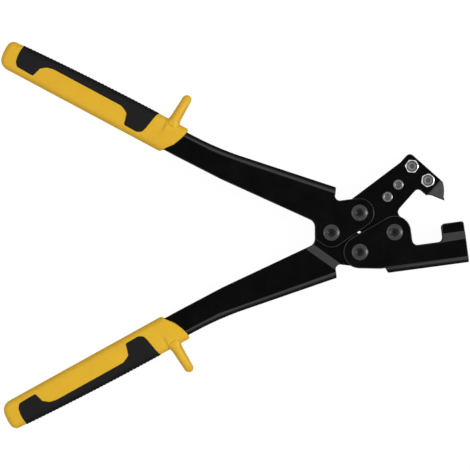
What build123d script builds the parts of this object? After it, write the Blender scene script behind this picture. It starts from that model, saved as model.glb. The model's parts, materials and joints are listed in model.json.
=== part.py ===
from build123d import *

# Compound-lever punch pliers, lying flat and fully open.
# Working frame: the handle pivot is at (0, 0, 0), +X points along the tool towards the jaws, +Y towards the
# upper handle and +Z out of the front face. The last section moves everything so that the origin is at the
# bottom centre of the whole tool.

import os
from math import acos, asin, atan2, cos, degrees, hypot, radians, sin, tan

# ---------------------------------------------------------------- driving dimensions, mm and degrees
# linkage
EAR_REACH = 27.2  # handle pivot to either link pivot
JAW_REACH = 31.7  # jaw pivot to either link pivot
OPEN_HALF_ANGLE = 34.8  # between the tool's axis and each ear, fully open
EAR_BEND = 62.3  # between a handle's line and its ear

# sheet and layers, as half-heights from the middle plane
SHEET = 2.5  # steel sheet of both handles and the lower jaw
CHANNEL_HALF = 8.0  # outside of the outer forks and channels
LAYER_GAP = 0.1  # between plates that turn on each other
CHEEK = 3.0  # upper jaw plate thickness
BEND_R = 5.0  # outside radius of the sheet's long bends
EDGE_R = 0.4  # softened edge of the stamped plates
OUTER_FACE = CHANNEL_HALF - SHEET  # inside of the outer forks
INNER_FACE = OUTER_FACE - LAYER_GAP  # outside of the inner fork and of the upper jaw
FORK_HALF = INNER_FACE - SHEET  # inside of the inner fork
CORE_HALF = INNER_FACE - CHEEK  # half thickness of tooth and spacer

# pivots
PIN_R = 4.0
RUNNING = 0.05  # radial clearance of a turning pivot
OPEN_PIVOT = 0.35  # radial clearance of the upper link pivot
HEAD_R = PIN_R + 2.6
HEAD_HEIGHT = 2.1
HEAD_EDGE = 1.0  # chamfer of a rivet head's rim
HEAD_SOFT = 0.8  # radius on both corners of that chamfer
DISH_R = 2.7  # hollow in the middle of a rivet head
DISH_DEPTH = 0.45
BUSH_R = PIN_R + 3.0
BUSH_PLAY = 0.1  # axial play of a bush between the fork's plates

# handle channel, in the handle's frame: u along the handle, v outwards
EAR_R = 11.65
FLANGE_FRONT = 13.0  # u where the web starts
FLANGE_TOP = 33.7  # v of the web there
ELBOW = 109.0  # u where the outer edge turns level
BACK_TOP = 18.6  # v of the level part
ELBOW_R = 280.0
CHANNEL_END = 284.0
BELLY_FRONT = 20.0
BELLY_FRONT_V = 1.6
BELLY_ELBOW = 97.0
BELLY_V = -2.0
BELLY_END_V = 0.5  # inside the grip the belly rises to this
CROTCH = (15.5, 1.9)
CROTCH_R = 6.5
HEEL = (9.0, -10.5)
NOTCH = ((5.0, 26.0), (8.0, 25.3), (11.0, 28.5))  # relief arc between ear and web: start, middle, end
JOGGLE_TURN = 63.4  # slope of the joggle's bend lines against the handle's line
JOGGLE_HEAD = 15.8  # distance of the joggle's head-side line from the handle pivot
JOGGLE_GRIP = 22.2  # and of its grip-side line

# grip, in the handle's frame
GRIP_LENGTH = 158.2
GRIP_CAP = 12.2  # from the channel's end to the grip's
GRIP_END = CHANNEL_END + GRIP_CAP
GRIP_FRONT = GRIP_END - GRIP_LENGTH
GRIP_FRONT_BELLY = GRIP_FRONT + 9.0  # its front end slants
GRIP_TOP_FRONT = BACK_TOP + 2.8
GRIP_TOP_MIDDLE = BACK_TOP + 3.6
GRIP_TOP_END = BACK_TOP + 1.8
GRIP_BELLY_FRONT = BELLY_V - 2.45
GRIP_BELLY_END = BELLY_END_V - 2.2
GRIP_HALF = CHANNEL_HALF + 2.2
GRIP_ROUND = 4.8
GRIP_CORNER_TOP = 5.2
GRIP_CORNER_BELLY = 8.0
LIP_R = 1.0
INLAY_PROUD = 0.3
INLAY_DEPTH = 1.2
INLAY_TONGUE = ((145.7, 21.5), (146.5, 13.0), (145.9, 8.0), (143.0, 4.3), (127.8, 3.6), (127.4, 6.0),
                (125.5, 10.5), (121.5, 15.0))  # its outline at the grip's end, u from the grip's front
INLAY_REST = ((55.0, 13.8), (50.0, 11.0), (48.0, 7.5), (47.0, 1.9), (35.0, 1.5), (30.6, 4.0), (29.3, 12.0),
              (27.5, 18.5), (25.8, 23.0))  # and round the thumb rest
INLAY_CORNER_R = 2.5
GUARD_FRONT = GRIP_FRONT + 9.0
GUARD_BACK = GUARD_FRONT + 7.6
GUARD_TIP = BACK_TOP + 27.2
GUARD_TIP_R = 2.7
GUARD_LEAN_BACK = 2.4  # how far the guard's grip side leans towards the jaws at its tip
GUARD_LEAN_FRONT = 0.6  # and its jaw side
GUARD_HALF = 10.0

# upper jaw, in the punch frame: origin at the jaw pivot, y along the arm
PUNCH_TURN = -12.6  # punch frame against the line from the upper link pivot to the jaw pivot
HUB_LINK_R = 12.3
HUB_JAW_R = 13.0
ARM_BACK = -32.9
ARM_FRONT = -9.5
HEAD_KNEE = 45.0
HEAD_TOP = 55.2
HEAD_BOTTOM = 38.8
HEAD_CORNER_R = 3.6
THROAT_R = 4.0
ARM_FOOT_R = 4.5
SEAT_GAP = 0.3  # between the tooth's foot and the spacer
TOOTH_SHOULDER = (2.4, HEAD_TOP)  # end of the tooth's straight back
TOOTH_NOSE = ((7.9, 50.6), (10.6, 46.9))  # middle and end of its rounded nose
TOOTH_EDGE = ((13.2, 45.2), (9.7, 43.8), (3.0, 41.5), (-1.0, HEAD_BOTTOM))  # point and cutting edge
TOOTH_BEVEL = 0.9
TOOTH_CORNER_R = HEAD_CORNER_R
BOLT_PLACES = ((-24.3, 48.0), (-7.5, 48.0))
BOLT_TURNS = (7.0, 33.0)
BOLT_R = 3.0
HEX_FLATS = 10.0
BOLT_HEAD = 4.0
NUT_HEIGHT = 4.4
BOLT_STICKOUT = 0.5
ARM_RIVETS = ((-22.65, 17.2), (-22.65, 30.1))
ARM_RIVET_R = 2.5
ARM_RIVET_HEAD_R = 4.3
ARM_RIVET_HEAD = 1.5
ARM_RIVET_EDGE = 0.6
ARM_RIVET_DISH = 0.4

# lower jaw, in the anvil frame: origin at the jaw pivot, x along the channel
ANVIL_TURN = -22.1  # anvil frame against the line from the lower link pivot to the jaw pivot
HUB_LOWER_R = 12.9
THROAT_FLOOR = -12.5
TOWER_BACK = 37.3
TOWER_TOP = 1.5
JAW_END = 55.3
JAW_BOTTOM = -31.3
WEB_START = -9.0
BELLY = (-14.9, -27.2)
TOWER_NECK = -6.3  # y above which the tower's walls stand in
TOWER_CORNER_R = 3.3
JAW_END_CORNER_R = 2.0
TOWER_FOOT_R = 3.5
THROAT_FOOT_R = 4.3
WEB_SLANT = 1.6  # how far the web's back end slants
SLOT_HALF = CORE_HALF + 0.3
PAST = 70.0  # how far a cutting outline runs past the piece

# ---------------------------------------------------------------- the linkage, worked out
JAW_HALF_ANGLE = degrees(asin(EAR_REACH / JAW_REACH * sin(radians(OPEN_HALF_ANGLE))))
HANDLE_ANGLE = EAR_BEND - OPEN_HALF_ANGLE
PIN_HANDLES = Vector(0, 0)
PIN_UPPER_LINK = Vector(EAR_REACH * cos(radians(OPEN_HALF_ANGLE)), EAR_REACH * sin(radians(OPEN_HALF_ANGLE)))
PIN_LOWER_LINK = Vector(PIN_UPPER_LINK.X, -PIN_UPPER_LINK.Y)
PIN_JAWS = Vector(PIN_UPPER_LINK.X + JAW_REACH * cos(radians(JAW_HALF_ANGLE)), 0)


def direction(angle: float) -> Vector:
    """Unit vector at an angle in degrees from +X."""
    return Vector(cos(radians(angle)), sin(radians(angle)))


UPPER_HANDLE = Plane(PIN_HANDLES, x_dir=direction(180 - HANDLE_ANGLE), z_dir=(0, 0, -1))
LOWER_HANDLE = Plane(PIN_HANDLES, x_dir=direction(180 + HANDLE_ANGLE), z_dir=(0, 0, 1))
PUNCH = Plane(PIN_JAWS, x_dir=direction(PUNCH_TURN - JAW_HALF_ANGLE), z_dir=(0, 0, 1))
ANVIL = Plane(PIN_JAWS, x_dir=direction(ANVIL_TURN + JAW_HALF_ANGLE), z_dir=(0, 0, 1))
LINK_IN_HANDLE = UPPER_HANDLE.to_local_coords(PIN_UPPER_LINK)
LINK_IN_PUNCH = PUNCH.to_local_coords(PIN_UPPER_LINK)
LINK_IN_ANVIL = ANVIL.to_local_coords(PIN_LOWER_LINK)


def tangent_point(centre: Vector, radius: float, target: tuple, side: int) -> tuple:
    """Where the line from target touches a circle, on its left (+1) or right (-1) seen from the circle."""
    run = target[0] - centre.X
    rise = target[1] - centre.Y
    angle = atan2(rise, run) + side * acos(radius / hypot(run, rise))
    return (centre.X + radius * cos(angle), centre.Y + radius * sin(angle))


def level(edge: Edge, height: float) -> bool:
    """Whether an edge lies level at a height above or below the middle plane."""
    box = edge.bounding_box()
    return box.size.Z < 1e-4 and abs(abs(box.min.Z) - height) < 1e-4


# ---------------------------------------------------------------- handle channels
# Each handle is one sheet folded into a channel, open towards the other handle, whose two sides run on past
# the web as a fork with two ears.

OUTER_SLOPE = degrees(atan2(FLANGE_TOP - BACK_TOP, ELBOW - FLANGE_FRONT))


def outer_edge(inset: float) -> list:
    """The channel's back line from the web's front end to the channel's end, moved inwards by inset."""
    front = (FLANGE_FRONT, FLANGE_TOP - inset / cos(radians(OUTER_SLOPE)))
    elbow = (ELBOW - inset * tan(radians(OUTER_SLOPE / 2)), BACK_TOP - inset)
    return [front, elbow, (CHANNEL_END, BACK_TOP - inset)]


def handle_outline() -> Sketch:
    """Outline of a handle seen from the front, in the handle's frame."""
    ear_top = tangent_point(LINK_IN_HANDLE, EAR_R, NOTCH[0], 1)
    heel = tangent_point(Vector(0, 0), EAR_R, HEEL, -1)
    with BuildSketch() as outline:
        with Locations((0, 0), (LINK_IN_HANDLE.X, LINK_IN_HANDLE.Y)):
            Circle(EAR_R)
        make_hull()
        with BuildLine():
            Polyline(NOTCH[2], *outer_edge(0), (CHANNEL_END, BELLY_END_V), (GRIP_FRONT, BELLY_V),
                     (BELLY_ELBOW, BELLY_V), (BELLY_FRONT, BELLY_FRONT_V), CROTCH, HEEL, heel, (0, 0),
                     (LINK_IN_HANDLE.X, LINK_IN_HANDLE.Y), ear_top, NOTCH[0])
            ThreePointArc(*NOTCH)
        make_face()
        fillet(vertices().sort_by_distance((ELBOW, BACK_TOP))[0], ELBOW_R)
        fillet(vertices().sort_by_distance(CROTCH)[0], CROTCH_R)
    return outline.sketch


def along_back(frame: Plane, edge: Edge, height: float, inset: float) -> bool:
    """Whether an edge runs along the channel's back line at a height, moved inwards by inset."""
    middle = frame.to_local_coords(edge.center())
    front, elbow, end = outer_edge(inset)
    line = max(elbow[1], front[1] - (middle.X - front[0]) * tan(radians(OUTER_SLOPE)))
    return level(edge, height) and edge.length > 2 * BEND_R and abs(middle.Y - line) < 1.5


def handle_blank(frame: Plane) -> Part:
    """A handle as a solid block with its two long bends rounded, before it is hollowed."""
    with BuildPart() as blank:
        with BuildSketch(frame):
            add(handle_outline())
        extrude(amount=CHANNEL_HALF, both=True)
        fillet([e for e in edges() if along_back(frame, e, CHANNEL_HALF, 0)], BEND_R)
    return blank.part


with BuildPart() as upper_handle_channel:
    add(handle_blank(UPPER_HANDLE))
    with BuildSketch(UPPER_HANDLE):
        inside = outer_edge(SHEET)
        with BuildLine():
            Polyline((NOTCH[0][0], PAST), (NOTCH[0][0], inside[0][1]), *inside[1:],
                     (CHANNEL_END + PAST, BACK_TOP - SHEET),
                     (CHANNEL_END + PAST, -PAST), (-PAST, -PAST), (-PAST, PAST), close=True)
        make_face()
        fillet(vertices().sort_by_distance(inside[1])[0], ELBOW_R + SHEET)
    extrude(amount=OUTER_FACE, both=True, mode=Mode.SUBTRACT)
    fillet([e for e in edges() if along_back(UPPER_HANDLE, e, OUTER_FACE, SHEET)], BEND_R - SHEET)
    with Locations(PIN_HANDLES, PIN_UPPER_LINK):
        Hole(PIN_R)

# The lower handle's sides step inwards along two straight bend lines, so that its fork runs inside the
# others.
JOGGLE_NORMAL = Vector(sin(radians(JOGGLE_TURN)), cos(radians(JOGGLE_TURN)))
JOGGLE_LINE = Vector(cos(radians(JOGGLE_TURN)), -sin(radians(JOGGLE_TURN)))
JOGGLE = Plane(
    PIN_HANDLES,
    x_dir=LOWER_HANDLE.from_local_coords(JOGGLE_NORMAL),
    z_dir=LOWER_HANDLE.from_local_coords(JOGGLE_LINE),
)


def step_outline(start: float, wide: float, end: float, narrow: float, height: float) -> Sketch:
    """The space outside a stepped pair of sheets: wide apart at start, narrow from end on, up to height."""
    run = PAST if end > start else -PAST
    with BuildSketch() as outline:
        with BuildLine():
            Polyline((start, wide), (end, narrow), (end + run, narrow), (end + run, height), (start, height),
                     close=True)
        make_face()
        mirror(about=Plane.XZ)
    return outline.sketch


def slot_outline(start: float, wide: float, end: float, narrow: float) -> Sketch:
    """The space between a stepped pair of sheets: wide apart at start, narrow from end on."""
    run = PAST if end > start else -PAST
    with BuildSketch() as outline:
        with BuildLine():
            Polyline((start, wide), (end, narrow), (end + run, narrow), (end + run, -narrow), (end, -narrow),
                     (start, -wide), close=True)
        make_face()
    return outline.sketch


with BuildPart() as lower_handle_channel:
    add(handle_blank(LOWER_HANDLE))
    with BuildSketch(LOWER_HANDLE):
        inside = outer_edge(SHEET)
        slope = tan(radians(OUTER_SLOPE))
        meet_u = (JOGGLE_GRIP - (inside[0][1] + slope * FLANGE_FRONT) * JOGGLE_NORMAL.Y) / (
            JOGGLE_NORMAL.X - slope * JOGGLE_NORMAL.Y)
        meet = (meet_u, inside[0][1] - slope * (meet_u - FLANGE_FRONT))
        low = JOGGLE_NORMAL * JOGGLE_GRIP + JOGGLE_LINE * PAST
        with BuildLine():
            Polyline(meet, *inside[1:], (CHANNEL_END + PAST, BACK_TOP - SHEET), (CHANNEL_END + PAST, low.Y),
                     (low.X, low.Y), close=True)
        make_face()
        fillet(vertices().sort_by_distance(inside[1])[0], ELBOW_R + SHEET)
    extrude(amount=OUTER_FACE, both=True, mode=Mode.SUBTRACT)
    fillet([e for e in edges() if along_back(LOWER_HANDLE, e, OUTER_FACE, SHEET)], BEND_R - SHEET)
    with BuildSketch(JOGGLE):
        add(slot_outline(JOGGLE_GRIP, OUTER_FACE, JOGGLE_HEAD, FORK_HALF))
    extrude(amount=PAST, both=True, mode=Mode.SUBTRACT)
    with BuildSketch(JOGGLE):
        add(step_outline(JOGGLE_GRIP, CHANNEL_HALF, JOGGLE_HEAD, INNER_FACE, 2 * CHANNEL_HALF))
    extrude(amount=PAST, both=True, mode=Mode.SUBTRACT)
    with Locations(PIN_HANDLES, PIN_LOWER_LINK):
        Hole(PIN_R + RUNNING)

# ---------------------------------------------------------------- grips
# A moulded sleeve pushed over the end of each channel, closed at its end, with a finger guard. The soft inlay
# lies in a pocket that wraps round the sleeve's back from the front face to the rear face.


def grip_outline(swell: float) -> Sketch:
    """Outline of a grip seen from the front, in the handle's frame, grown all round by swell."""
    middle = (GRIP_FRONT + GRIP_END) / 2
    with BuildSketch() as outline:
        with BuildLine():
            ThreePointArc((GRIP_FRONT, GRIP_TOP_FRONT + swell), (middle, GRIP_TOP_MIDDLE + swell),
                          (GRIP_END + swell, GRIP_TOP_END + swell))
            Polyline((GRIP_END + swell, GRIP_TOP_END + swell), (GRIP_END + swell, GRIP_BELLY_END - swell),
                     (GRIP_FRONT_BELLY, GRIP_BELLY_FRONT - swell), (GRIP_FRONT, GRIP_TOP_FRONT + swell))
        make_face()
        fillet(vertices().sort_by_distance((GRIP_END, GRIP_TOP_END))[0], GRIP_CORNER_TOP + swell)
        fillet(vertices().sort_by_distance((GRIP_END, GRIP_BELLY_END))[0], GRIP_CORNER_BELLY + swell)
    return outline.sketch


def front_rim(edge: Edge) -> bool:
    """Whether an edge belongs to the grip's slanted front end."""
    middle = UPPER_HANDLE.to_local_coords(edge.center())
    return middle.X < GRIP_FRONT_BELLY + 1.0 and middle.Y < GRIP_TOP_FRONT


def grip_block(swell: float, half: float) -> Part:
    """A grip as a solid with rounded sides, grown all round by swell, half as high as half."""
    with BuildPart() as block:
        with BuildSketch(UPPER_HANDLE):
            add(grip_outline(swell))
        extrude(amount=half, both=True)
        rounded = ShapeList([e for e in edges() if level(e, half) and not front_rim(e)])
        fillet(rounded, GRIP_ROUND + swell)
    return block.part


def inlay_outline() -> Sketch:
    """Outline of the soft inlay: a tongue along the grip with a thumb rest at its front end."""
    places = [(GRIP_FRONT + u, v) for u, v in INLAY_TONGUE + INLAY_REST]
    with BuildSketch() as outline:
        with BuildLine():
            Polyline((places[0][0], PAST), *places, (places[-1][0], PAST), close=True)
        make_face()
        for u, v in (INLAY_TONGUE[3], INLAY_TONGUE[-1]):
            fillet(vertices().sort_by_distance((GRIP_FRONT + u, v))[0], INLAY_CORNER_R)
    return outline.sketch


with BuildPart() as guard:
    with BuildSketch(UPPER_HANDLE):
        with BuildLine():
            Polyline((GUARD_BACK, BACK_TOP), (GUARD_BACK - GUARD_LEAN_BACK, GUARD_TIP),
                     (GUARD_FRONT - GUARD_LEAN_FRONT, GUARD_TIP), (GUARD_FRONT, BACK_TOP), close=True)
        make_face()
        fillet(vertices().group_by(Axis.Y)[-1], GUARD_TIP_R)
    extrude(amount=GUARD_HALF, both=True)
    across = Plane(UPPER_HANDLE.from_local_coords(Vector(GUARD_FRONT, BACK_TOP)), x_dir=UPPER_HANDLE.y_dir,
                   z_dir=UPPER_HANDLE.x_dir)
    with BuildSketch(across):
        Ellipse(GUARD_TIP - BACK_TOP, GUARD_HALF)
    extrude(amount=PAST, both=True, mode=Mode.INTERSECT)

with BuildPart() as inlay_space:
    with BuildSketch(UPPER_HANDLE):
        add(inlay_outline())
    extrude(amount=2 * GRIP_HALF, both=True)
    add(grip_block(-INLAY_DEPTH, GRIP_HALF - INLAY_DEPTH), mode=Mode.SUBTRACT)

with BuildPart() as upper_grip_shell:
    add(grip_block(0, GRIP_HALF))
    fillet([e for e in edges() if front_rim(e)], LIP_R)
    add(guard.part)
    add(inlay_space.part, mode=Mode.SUBTRACT)
    add(handle_blank(UPPER_HANDLE), mode=Mode.SUBTRACT)

with BuildPart() as lower_grip_shell:
    mirror(upper_grip_shell.part, about=Plane.XZ)

with BuildPart() as upper_grip_inlay:
    add(grip_block(INLAY_PROUD, GRIP_HALF + INLAY_PROUD))
    add(inlay_space.part, mode=Mode.INTERSECT)

with BuildPart() as lower_grip_inlay:
    mirror(upper_grip_inlay.part, about=Plane.XZ)

# ---------------------------------------------------------------- upper jaw
# Two stamped cheeks with the tooth clamped between their heads and a spacer of the same thickness in
# their arms.


def cheek_outline() -> Sketch:
    """Outline of an upper jaw cheek, in the punch frame."""
    back_foot = tangent_point(LINK_IN_PUNCH, HUB_LINK_R, (ARM_BACK, HEAD_KNEE), 1)
    with BuildSketch() as outline:
        with Locations((LINK_IN_PUNCH.X, LINK_IN_PUNCH.Y)):
            Circle(HUB_LINK_R)
        Circle(HUB_JAW_R)
        make_hull()
        with BuildLine():
            Polyline((LINK_IN_PUNCH.X, LINK_IN_PUNCH.Y), back_foot, (ARM_BACK, HEAD_KNEE),
                     (ARM_BACK, HEAD_TOP), (0, HEAD_TOP), (0, HEAD_BOTTOM), (ARM_FRONT, HEAD_BOTTOM),
                     (ARM_FRONT, 0), (0, 0), close=True)
        make_face()
        fillet(vertices().sort_by_distance((ARM_BACK, HEAD_TOP))[0], HEAD_CORNER_R)
        fillet(vertices().sort_by_distance((ARM_FRONT, HEAD_BOTTOM))[0], THROAT_R)
        foot = (ARM_FRONT, HUB_JAW_R * sin(acos(ARM_FRONT / HUB_JAW_R)))
        fillet(vertices().sort_by_distance(foot)[0], ARM_FOOT_R)
    return outline.sketch


def cheek(inner: float, outer: float) -> Part:
    """A cheek between two heights, its holes drilled and the rim of its outer face softened."""
    with BuildPart() as plate:
        with BuildSketch(PUNCH.offset(inner)):
            add(cheek_outline())
        extrude(amount=outer - inner)
        fillet([e for e in edges() if level(e, INNER_FACE)], EDGE_R)
        with Locations(PIN_UPPER_LINK):
            Hole(PIN_R + OPEN_PIVOT)
        with Locations(PIN_JAWS):
            Hole(PIN_R + RUNNING)
        with Locations(*[PUNCH.from_local_coords(Vector(*place)) for place in BOLT_PLACES]):
            Hole(BOLT_R)
        with Locations(*[PUNCH.from_local_coords(Vector(*place)) for place in ARM_RIVETS]):
            Hole(ARM_RIVET_R)
    return plate.part


with BuildPart() as upper_jaw_plate_front:
    add(cheek(CORE_HALF, INNER_FACE))

with BuildPart() as upper_jaw_plate_back:
    add(cheek(-CORE_HALF, -INNER_FACE))

with BuildPart() as upper_jaw_spacer:
    with BuildSketch(PUNCH):
        add(cheek_outline())
        with Locations((0, HEAD_BOTTOM - SEAT_GAP)):
            Rectangle(PAST * 2, PAST, align=(Align.CENTER, Align.MIN), mode=Mode.SUBTRACT)
    extrude(amount=CORE_HALF, both=True)
    with Locations(PIN_UPPER_LINK):
        Hole(PIN_R + OPEN_PIVOT)
    with Locations(PIN_JAWS):
        Hole(PIN_R + RUNNING)
    with Locations(*[PUNCH.from_local_coords(Vector(*place)) for place in ARM_RIVETS]):
        Hole(ARM_RIVET_R)

with BuildPart() as punch_blade:
    with BuildSketch(PUNCH):
        with BuildLine():
            back = Line((ARM_BACK, HEAD_BOTTOM), (ARM_BACK, HEAD_TOP))
            top = Line(back @ 1, TOOTH_SHOULDER)
            nose = ThreePointArc(top @ 1, *TOOTH_NOSE)
            Polyline(nose @ 1, *TOOTH_EDGE, back @ 0)
        make_face()
        fillet(vertices().sort_by_distance((ARM_BACK, HEAD_TOP))[0], TOOTH_CORNER_R)
    extrude(amount=CORE_HALF, both=True)
    cutting = [e for e in edges() if level(e, CORE_HALF) and PUNCH.to_local_coords(e.center()).X > 0
               and PUNCH.to_local_coords(e.center()).Y < TOOTH_EDGE[0][1]]
    chamfer(cutting, TOOTH_BEVEL)
    with Locations(*[PUNCH.from_local_coords(Vector(*place)) for place in BOLT_PLACES]):
        Hole(BOLT_R)

# ---------------------------------------------------------------- lower jaw
# One sheet folded along its bottom edge into a deep channel. Its sides rise as the outer fork at the back
# and as the tower at the front, where they step inwards and leave the slot that the tooth enters.

with BuildPart() as lower_jaw_channel:
    with BuildSketch(ANVIL):
        with Locations((LINK_IN_ANVIL.X, LINK_IN_ANVIL.Y)):
            Circle(HUB_LOWER_R)
        Circle(HUB_JAW_R)
        make_hull()
        belly_back = tangent_point(LINK_IN_ANVIL, HUB_LOWER_R, BELLY, -1)
        with BuildLine():
            Polyline((LINK_IN_ANVIL.X, LINK_IN_ANVIL.Y), belly_back, BELLY, (WEB_START - WEB_SLANT, BELLY[1]),
                     (WEB_START, JAW_BOTTOM), (JAW_END, JAW_BOTTOM), (JAW_END, TOWER_TOP),
                     (TOWER_BACK, TOWER_TOP), (TOWER_BACK, THROAT_FLOOR), (HUB_JAW_R, THROAT_FLOOR),
                     (HUB_JAW_R, 0), (0, 0), close=True)
        make_face()
        fillet(vertices().sort_by_distance((TOWER_BACK, TOWER_TOP))[0], TOWER_CORNER_R)
        fillet(vertices().sort_by_distance((JAW_END, TOWER_TOP))[0], JAW_END_CORNER_R)
        fillet(vertices().sort_by_distance((TOWER_BACK, THROAT_FLOOR))[0], TOWER_FOOT_R)
        fillet(vertices().sort_by_distance((HUB_JAW_R, THROAT_FLOOR))[0], THROAT_FOOT_R)
    extrude(amount=CHANNEL_HALF, both=True)
    bends = [e for e in edges() if level(e, CHANNEL_HALF)
             and abs(ANVIL.to_local_coords(e.center()).Y - JAW_BOTTOM) < 1e-3]
    fillet(bends, BEND_R)
    tower_side = (HUB_JAW_R + TOWER_BACK) / 2
    with BuildSketch(ANVIL):
        with BuildLine():
            Polyline((-PAST, -PAST), (WEB_START - 2 * WEB_SLANT, -PAST),
                     (WEB_START - 2 * WEB_SLANT, JAW_BOTTOM + SHEET),
                     (JAW_END + PAST, JAW_BOTTOM + SHEET), (JAW_END + PAST, THROAT_FLOOR),
                     (tower_side, THROAT_FLOOR), (tower_side, PAST), (-PAST, PAST), close=True)
        make_face()
    extrude(amount=OUTER_FACE, both=True, mode=Mode.SUBTRACT)
    inner_bends = [e for e in edges() if level(e, OUTER_FACE)
                   and abs(ANVIL.to_local_coords(e.center()).Y - JAW_BOTTOM - SHEET) < 1e-3]
    fillet(inner_bends, BEND_R - SHEET)
    tower_step = Plane(ANVIL.from_local_coords(Vector(tower_side, 0)), x_dir=ANVIL.y_dir, z_dir=ANVIL.x_dir)
    with BuildSketch(tower_step):
        add(slot_outline(THROAT_FLOOR, OUTER_FACE, TOWER_NECK, SLOT_HALF))
        add(step_outline(THROAT_FLOOR, CHANNEL_HALF, TOWER_NECK, SLOT_HALF + SHEET, 2 * CHANNEL_HALF))
    extrude(amount=PAST, mode=Mode.SUBTRACT)
    with Locations(PIN_JAWS, PIN_LOWER_LINK):
        Hole(PIN_R)

# ---------------------------------------------------------------- rivets, bushes, bolts and nuts


def pivot_rivet(centre: Vector) -> Part:
    """A large rivet through the outer fork: shank, and a domed head with a hollow middle at each end."""
    top = CHANNEL_HALF + HEAD_HEIGHT
    with BuildPart() as rivet:
        with BuildSketch(Plane(centre, x_dir=(1, 0, 0), z_dir=(0, -1, 0))):
            with BuildLine():
                Polyline((0, 0), (PIN_R, 0), (PIN_R, CHANNEL_HALF), (HEAD_R, CHANNEL_HALF),
                         (HEAD_R, top - HEAD_EDGE), (HEAD_R - HEAD_EDGE, top), (DISH_R + DISH_DEPTH, top),
                         (DISH_R, top - DISH_DEPTH), (0, top - DISH_DEPTH), close=True)
            make_face()
            fillet(vertices().sort_by_distance((HEAD_R, top - HEAD_EDGE))[0], HEAD_SOFT)
            fillet(vertices().sort_by_distance((HEAD_R - HEAD_EDGE, top))[0], HEAD_SOFT)
            mirror(about=Plane.XZ)
        revolve(axis=Axis(centre, (0, 0, 1)))
    return rivet.part


with BuildPart() as handle_pivot_pin:
    add(pivot_rivet(PIN_HANDLES))

with BuildPart() as upper_link_pin:
    add(pivot_rivet(PIN_UPPER_LINK))

with BuildPart() as lower_link_pin:
    add(pivot_rivet(PIN_LOWER_LINK))

with BuildPart() as jaw_pivot_pin:
    add(pivot_rivet(PIN_JAWS))


def bush(centre: Vector) -> Part:
    """A distance bush on a pivot, between the two plates of the inner fork."""
    with BuildPart() as ring:
        with BuildSketch(Plane(centre)):
            Circle(BUSH_R)
            Circle(PIN_R, mode=Mode.SUBTRACT)
        extrude(amount=FORK_HALF - BUSH_PLAY, both=True)
    return ring.part


with BuildPart() as handle_pivot_bush:
    add(bush(PIN_HANDLES))

with BuildPart() as lower_link_bush:
    add(bush(PIN_LOWER_LINK))

with BuildPart() as arm_rivets:
    for place in ARM_RIVETS:
        centre = PUNCH.from_local_coords(Vector(*place))
        with BuildSketch(Plane(centre, x_dir=(1, 0, 0), z_dir=(0, -1, 0))):
            head_top = INNER_FACE + ARM_RIVET_HEAD
            dish = head_top - ARM_RIVET_DISH
            with BuildLine():
                Polyline((0, 0), (ARM_RIVET_R, 0), (ARM_RIVET_R, INNER_FACE), (ARM_RIVET_HEAD_R, INNER_FACE),
                         (ARM_RIVET_HEAD_R, head_top - ARM_RIVET_EDGE),
                         (ARM_RIVET_HEAD_R - ARM_RIVET_EDGE, head_top), (ARM_RIVET_R, head_top),
                         (ARM_RIVET_R - ARM_RIVET_DISH, dish), (0, dish), close=True)
            make_face()
            mirror(about=Plane.XZ)
        revolve(axis=Axis(centre, (0, 0, 1)))

with BuildPart() as punch_bolts:
    for place, turn in zip(BOLT_PLACES, BOLT_TURNS):
        seat = PUNCH.offset(INNER_FACE)
        with BuildSketch(seat):
            with Locations(place):
                RegularPolygon(HEX_FLATS / 2, 6, major_radius=False, rotation=turn)
        extrude(amount=BOLT_HEAD)
        with BuildSketch(seat):
            with Locations(place):
                Circle(BOLT_R)
        extrude(amount=-(2 * INNER_FACE + NUT_HEIGHT + BOLT_STICKOUT))

with BuildPart() as punch_nuts:
    for place, turn in zip(BOLT_PLACES, BOLT_TURNS):
        with BuildSketch(PUNCH.offset(-INNER_FACE)):
            with Locations(place):
                RegularPolygon(HEX_FLATS / 2, 6, major_radius=False, rotation=turn)
                Circle(BOLT_R, mode=Mode.SUBTRACT)
        extrude(amount=-NUT_HEIGHT)

# ---------------------------------------------------------------- write the pieces

pieces = {
    "upper_handle_channel": upper_handle_channel,
    "lower_handle_channel": lower_handle_channel,
    "upper_grip_shell": upper_grip_shell,
    "lower_grip_shell": lower_grip_shell,
    "upper_grip_inlay": upper_grip_inlay,
    "lower_grip_inlay": lower_grip_inlay,
    "upper_jaw_plate_front": upper_jaw_plate_front,
    "upper_jaw_plate_back": upper_jaw_plate_back,
    "upper_jaw_spacer": upper_jaw_spacer,
    "punch_blade": punch_blade,
    "punch_bolts": punch_bolts,
    "punch_nuts": punch_nuts,
    "arm_rivets": arm_rivets,
    "lower_jaw_channel": lower_jaw_channel,
    "handle_pivot_pin": handle_pivot_pin,
    "upper_link_pin": upper_link_pin,
    "lower_link_pin": lower_link_pin,
    "jaw_pivot_pin": jaw_pivot_pin,
    "handle_pivot_bush": handle_pivot_bush,
    "lower_link_bush": lower_link_bush,
}
boxes = [piece.part.bounding_box() for piece in pieces.values()]
low = Vector(min(b.min.X for b in boxes), min(b.min.Y for b in boxes), min(b.min.Z for b in boxes))
high = Vector(max(b.max.X for b in boxes), max(b.max.Y for b in boxes), max(b.max.Z for b in boxes))
TO_ORIGIN = Location((-(low.X + high.X) / 2, -(low.Y + high.Y) / 2, -low.Z))

os.makedirs("parts", exist_ok=True)
for name, piece in pieces.items():
    placed = piece.part.moved(TO_ORIGIN)
    placed.label = name
    export_step(placed, f"parts/{name}.step")
print("size", high - low)
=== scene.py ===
import json
from math import atan2, cos, pi, radians, sin

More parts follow.
